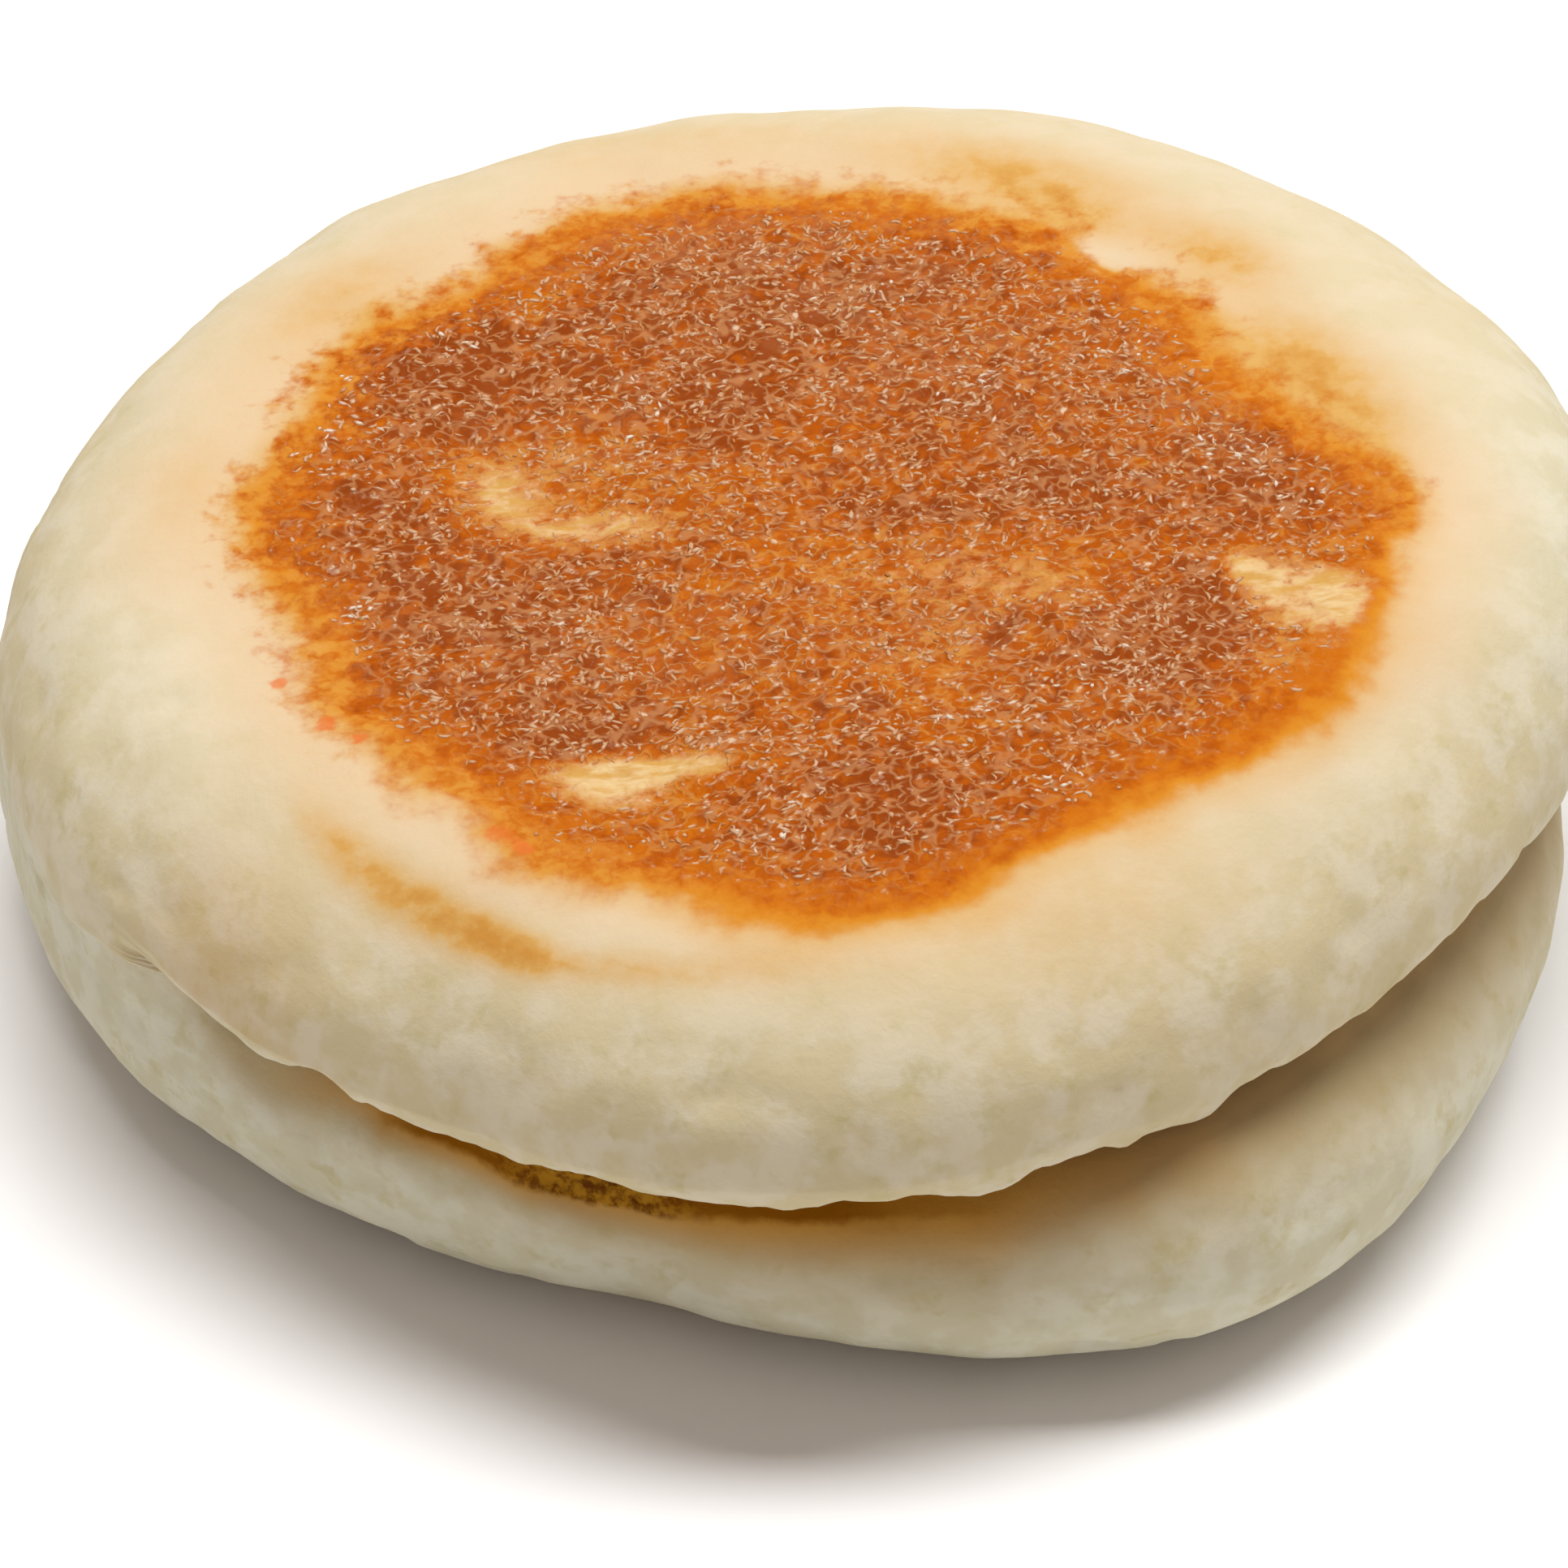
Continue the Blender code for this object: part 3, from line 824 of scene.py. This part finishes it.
def flour_places(rng, number):
    """Places for the flour on the patch: uneven, thicker in the clusters and thin on the bare spots."""
    tries = number * 5
    spread, turn = 39.0 * np.sqrt(rng.random(tries)), rng.random(tries) * 2 * pi
    x, y = PATCH_MIDDLE[0] + spread * np.cos(turn), PATCH_MIDDLE[1] + spread * np.sin(turn)
    baked, hazy = spots_at(x, y, BAKED_SPOTS), spots_at(x, y, HAZY_SPOTS)
    patchy = ease(-0.45, 0.35, waves(np.column_stack([x, y, np.zeros_like(x)]), 4.5, 21))
    chance = 0.25 + 0.55 * patchy + 0.5 * hazy
    chance *= ease(-1.0, -0.3, baked) * ease(1.3, 0.8, baked)
    direction, _ = from_patch_middle(x, y)
    chance *= ease(0.6, 4.4, past_outline(x, y, PATCH_RADII) + 0.5 * around(EDGE_GLOW, direction))
    chosen = np.flatnonzero(rng.random(len(x)) < chance * 0.75)[:number]
    places = [(x[i], y[i], 0.40 + 0.45 * rng.random()) for i in chosen]
    for at_x, at_y, size in FLOUR_CLUSTERS:
        for _ in range(int(9 * size)):
            place = rng.normal(at_x, size * 0.6), rng.normal(at_y, size * 0.6)
            places.append((*place, 0.75 + 0.25 * rng.random()))
    return places


def curl_rings(rng, start, surface, length, width):
    """The rings of one curl of flour, four corners each, lying on the surface and thin at both ends."""
    steps = len(RING_PALENESS)
    heading, bend = rng.random() * 2 * pi, rng.normal(0.0, 2.4)
    x, y = start
    rings = []
    for number in range(steps):
        hit = surface.ray_cast(Vector((x, y, 60)) * MM, Vector((0, 0, -1)))[0]
        if hit is None:
            return []
        ground = hit.z / MM
        half = width * sin(pi * (0.07 + 0.86 * number / (steps - 1))) ** 0.7
        across_x, across_y = -sin(heading) * half, cos(heading) * half
        rings.append([
            (x + across_x, y + across_y, ground - 0.06),
            (x + across_x * 0.45, y + across_y * 0.45, ground + 0.4 * half),
            (x - across_x * 0.45, y - across_y * 0.45, ground + 0.4 * half),
            (x - across_x, y - across_y, ground - 0.06),
        ])
        heading += bend * length / steps + rng.normal(0.0, 0.35)
        x += cos(heading) * length / (steps - 1)
        y += sin(heading) * length / (steps - 1)
    return rings


def toasted_flour():
    """Flour baked on to the patch: from tan to nearly white, curl by curl."""
    material, tree, shader, place = new_finish("toasted_flour")
    pale = attribute(tree, "pale")
    grain, _ = cloud(tree, place, 2.2, 2.0, 0.6)
    flour = two_toned(tree, grain, 0.38, 0.62, TOASTED_CURL)
    flour = mixed(tree, step(tree, pale, 0.40, 0.80), flour, PALE_CURL)
    flour = mixed(tree, step(tree, pale, 0.80, 1.0), flour, WHITE_CURL)
    tree.links.new(flour, shader.inputs["Base Color"])
    shader.inputs["Roughness"].default_value = 0.42
    shader.inputs["Specular IOR Level"].default_value = 0.3
    shader.inputs["Subsurface Weight"].default_value = 0.1
    shader.inputs["Subsurface Radius"].default_value = (1.0, 0.6, 0.35)
    shader.inputs["Subsurface Scale"].default_value = 0.0004
    return material


def make_flour(loaf):
    """The small curls of flour and toasted dough that stand up from the patch, in one mesh."""
    rng = np.random.default_rng(12)
    surface = BVHTree.FromObject(loaf, bpy.context.evaluated_depsgraph_get())
    corners, faces, paleness = [], [], []
    for x, y, pale in flour_places(rng, CURL_NUMBER):
        length, width = rng.uniform(0.25, 0.95), rng.uniform(0.09, 0.21)
        rings = curl_rings(rng, (x, y), surface, length, width)
        if not rings:
            continue
        first = len(corners)
        corners += [corner for ring in rings for corner in ring]
        for share in RING_PALENESS:
            paleness += [pale * share] * 4
        faces += [(first + 3, first + 2, first + 1, first), tuple(range(len(corners) - 4, len(corners)))]
        for ring in range(len(rings) - 1):
            here = first + 4 * ring
            for side, after in ((0, 1), (1, 2), (2, 3), (3, 0)):
                faces.append((here + side, here + after, here + 4 + after, here + 4 + side))
    mesh = bpy.data.meshes.new("flour_curls")
    mesh.from_pydata([tuple(MM * value for value in corner) for corner in corners], [], faces)
    curls = bpy.data.objects.new("flour_curls", mesh)
    bpy.context.scene.collection.objects.link(curls)
    deselect()
    curls.select_set(True)
    bpy.context.view_layer.objects.active = curls
    bpy.ops.object.mode_set(mode="EDIT")
    bpy.ops.mesh.select_all(action="SELECT")
    bpy.ops.mesh.normals_make_consistent(inside=False)
    bpy.ops.object.mode_set(mode="OBJECT")
    keep_mask(mesh, "pale", paleness)
    mesh.shade_smooth()
    mesh.materials.append(toasted_flour())
    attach(curls, "root")


def make_floor():
    deselect()
    bpy.ops.mesh.primitive_plane_add(size=6)
    floor = bpy.context.object
    floor.name = "floor"
    material = bpy.data.materials.new("white_paper")
    material.use_nodes = True
    shader = material.node_tree.nodes["Principled BSDF"]
    shader.inputs["Base Color"].default_value = (0.86, 0.86, 0.86, 1)
    shader.inputs["Roughness"].default_value = 0.9
    shader.inputs["Specular IOR Level"].default_value = 0.1
    floor.data.materials.append(material)


def make_lights():
    """Soft studio light: a broad lamp behind the muffin to the right, and an even pale surround."""
    key = bpy.data.lights.new("key", "AREA")
    key.shape, key.size, key.size_y, key.energy = "ELLIPSE", 1.1, 0.38, 12.9
    key.color = (0.985, 1.0, 1.0)
    lamp = bpy.data.objects.new("key", key)
    bpy.context.scene.collection.objects.link(lamp)
    lamp.location = (0.10, 0.13, 1.0)
    lamp.rotation_euler = (-atan2(0.13, 1.0), atan2(0.10, 1.0), 0)
    world = bpy.data.worlds.new("studio")
    bpy.context.scene.world = world
    world.use_nodes = True
    world.node_tree.nodes["Background"].inputs["Color"].default_value = (1.0, 0.855, 0.80, 1)
    world.node_tree.nodes["Background"].inputs["Strength"].default_value = 0.40


def make_camera():
    camera = bpy.data.cameras.new("camera")
    camera.sensor_width, camera.lens = 36, CAMERA_LENS
    camera.clip_start, camera.clip_end = 0.01, 20
    holder = bpy.data.objects.new("camera", camera)
    bpy.context.scene.collection.objects.link(holder)
    tilt = radians(CAMERA_ELEVATION)
    away = Vector((0, -cos(tilt), sin(tilt))) * CAMERA_DISTANCE
    holder.location = (Vector(CAMERA_TARGET) + away) * MM
    holder.rotation_euler = (pi / 2 - tilt, 0, 0)
    bpy.context.scene.camera = holder
    bpy.context.scene.view_settings.view_transform = "Standard"


make_camera()
make_muffin()
make_floor()
make_lights()
